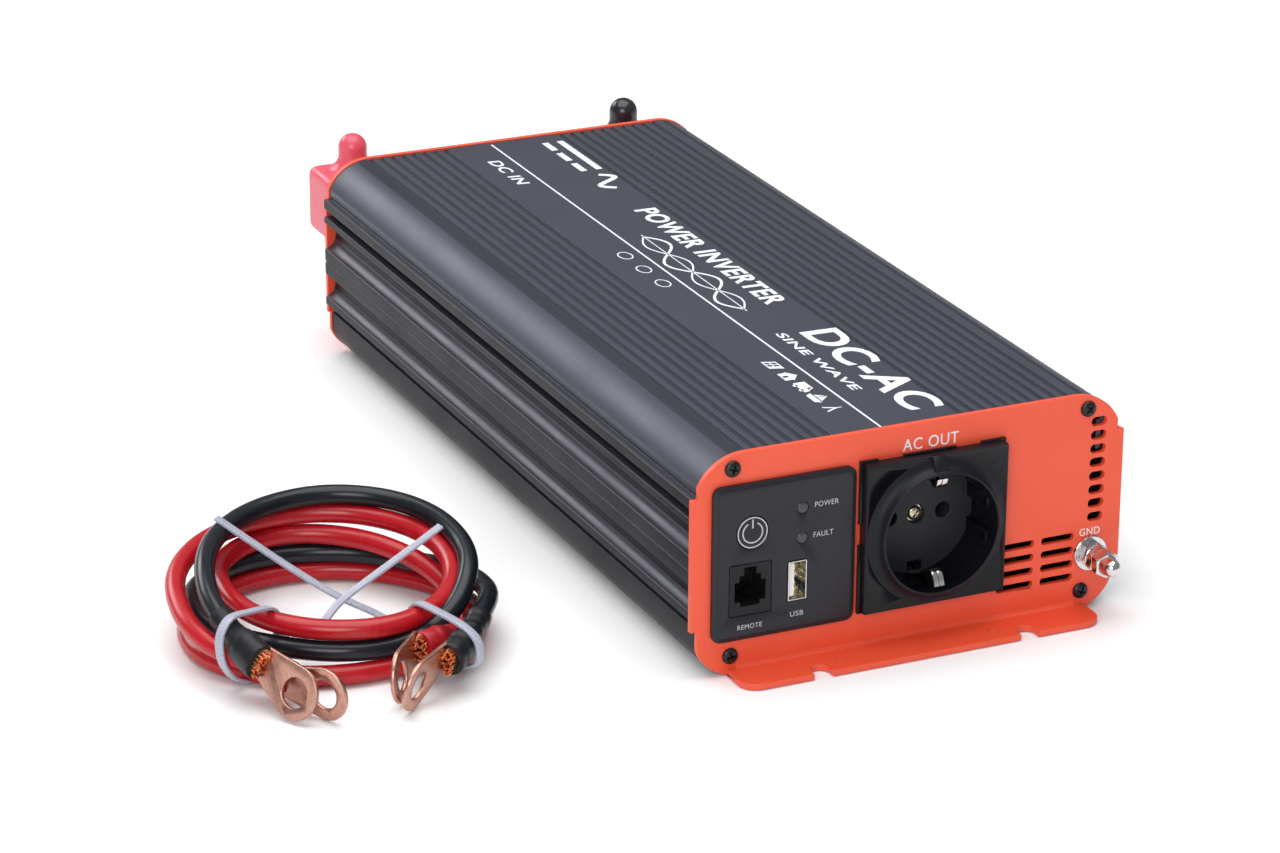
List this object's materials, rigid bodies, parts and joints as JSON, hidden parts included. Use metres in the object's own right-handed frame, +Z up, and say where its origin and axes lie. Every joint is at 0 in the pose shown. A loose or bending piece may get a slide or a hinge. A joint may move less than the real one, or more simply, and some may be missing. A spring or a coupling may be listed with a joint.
{
  "type": "power inverter",
  "caption": "Long aluminium-cased DC to AC power inverter with a mains socket, control panel, fan, battery terminals and a coiled battery lead set.",
  "frame": {"origin": "on the resting face, under the middle of the case and midway between the two end plates", "axes": "+Z up, -Y out of the panel with the mains socket, +Y out of the panel with the battery terminals, X across the case"},
  "size_m": [0.2899, 0.3653, 0.0766],
  "materials": {
    "case_dark": "fine satin dark grey coating",
    "case_base": "fine satin dark grey coating",
    "panel_orange": "satin orange-red powder coat",
    "black_screw": "black oxide",
    "black_panel": "fine matt moulding",
    "button_plastic": "fine matt moulding",
    "led_lens": "smoked lens",
    "black_gloss": "polished moulding",
    "socket_plastic": "satin moulding",
    "switch_plastic": "plain moulding",
    "gold_contact": "gold flash",
    "nickel_steel": "bright nickel plate",
    "white_plastic": "plain moulding",
    "green_board": "solder mask",
    "earth_metal": "bright spring steel",
    "screw_brass": "yellow zinc",
    "brass": "machined",
    "fan_plastic": "glass-filled moulding",
    "guard_wire": "bright plated wire",
    "bush_red": "plain moulding",
    "bush_black": "plain moulding",
    "boot_red": "soft glossy PVC",
    "boot_black": "soft glossy PVC",
    "ferrite": "ground ferrite",
    "winding_tape": "polyester tape",
    "cap_sleeve": "shrunk sleeve",
    "sink_alu": "mill finish",
    "choke_wire": "enamelled copper",
    "fuse_plastic": "translucent moulding",
    "copper": "bare copper",
    "insulation": "fish paper",
    "wire_sleeve": "PVC",
    "lead_red": "smooth PVC",
    "lead_black": "smooth PVC",
    "sleeve_red": "heat-shrink",
    "sleeve_black": "heat-shrink",
    "lug_copper": "bare stamped copper",
    "tie_nylon": "natural nylon"
  },
  "bodies": {
    "case": {"top_cover": "case_dark", "base_extrusion": "case_base", "front_plate": "panel_orange", "back_plate": "panel_orange", "front_plate_screws": "black_screw", "back_plate_screws": "black_screw", "control_panel": "black_panel", "tact_switch": "switch_plastic", "power_led": "led_lens", "fault_led": "led_lens", "remote_jack": "black_gloss", "remote_jack_contacts": "gold_contact", "usb_shell": "nickel_steel", "usb_tongue": "white_plastic", "usb_contacts": "gold_contact", "panel_board": "green_board", "socket_face": "socket_plastic", "socket_rear_housing": "white_plastic", "socket_earth_clip": "earth_metal", "socket_center_screw": "screw_brass", "socket_pin_sleeves": "brass", "ground_stud": "nickel_steel", "ground_washers": "nickel_steel", "ground_nuts": "nickel_steel", "ground_acorn_nut": "nickel_steel", "fan_frame": "fan_plastic", "fan_guard": "guard_wire", "fan_screws": "nickel_steel", "red_terminal_bushing": "bush_red", "black_terminal_bushing": "bush_black", "terminal_posts": "brass", "terminal_washers": "nickel_steel", "terminal_nuts": "nickel_steel", "main_board": "green_board", "board_standoffs": "brass", "board_screws": "nickel_steel", "transformer_cores": "ferrite", "transformer_windings": "winding_tape", "input_capacitors": "cap_sleeve", "bus_capacitors": "cap_sleeve", "heat_sink_left": "sink_alu", "heat_sink_right": "sink_alu", "power_transistors": "switch_plastic", "output_choke": "choke_wire", "fuses": "fuse_plastic", "bus_bars": "copper", "insulation_sheet": "insulation", "ac_wires": "wire_sleeve"},
    "power_button": {"power_button": "button_plastic"},
    "fan_rotor": {"fan_rotor": "fan_plastic"},
    "red_boot": {"red_boot": "boot_red"},
    "black_boot": {"black_boot": "boot_black"},
    "lead_set": {"red_lead_coil": "lead_red", "black_lead_coil": "lead_black", "red_lead_sleeves": "sleeve_red", "black_lead_sleeves": "sleeve_black", "ring_lugs": "lug_copper", "cable_ties": "tie_nylon"}
  },
  "joints": [
    {"name": "power_button_press", "type": "slide", "parent": "case", "child": "power_button", "axis": [0, 1, 0], "range_m": [0, 0.0007], "stiffness_N_per_m": 900, "springref_m": -0.0005},
    {"name": "fan_spin", "type": "hinge", "parent": "case", "child": "fan_rotor", "pos_m": [0, 0.145, 0.0378], "axis": [0, 1, 0], "continuous": true},
    {"name": "red_boot_pull", "type": "slide", "parent": "case", "child": "red_boot", "axis": [0, 1, 0], "range_m": [0, 0.03]},
    {"name": "black_boot_pull", "type": "slide", "parent": "case", "child": "black_boot", "axis": [0, 1, 0], "range_m": [0, 0.03]},
    {"name": "lead_set_lift", "type": "slide", "parent": "case", "child": "lead_set", "axis": [0, 0, 1], "range_m": [0, 0.08]}
  ]
}
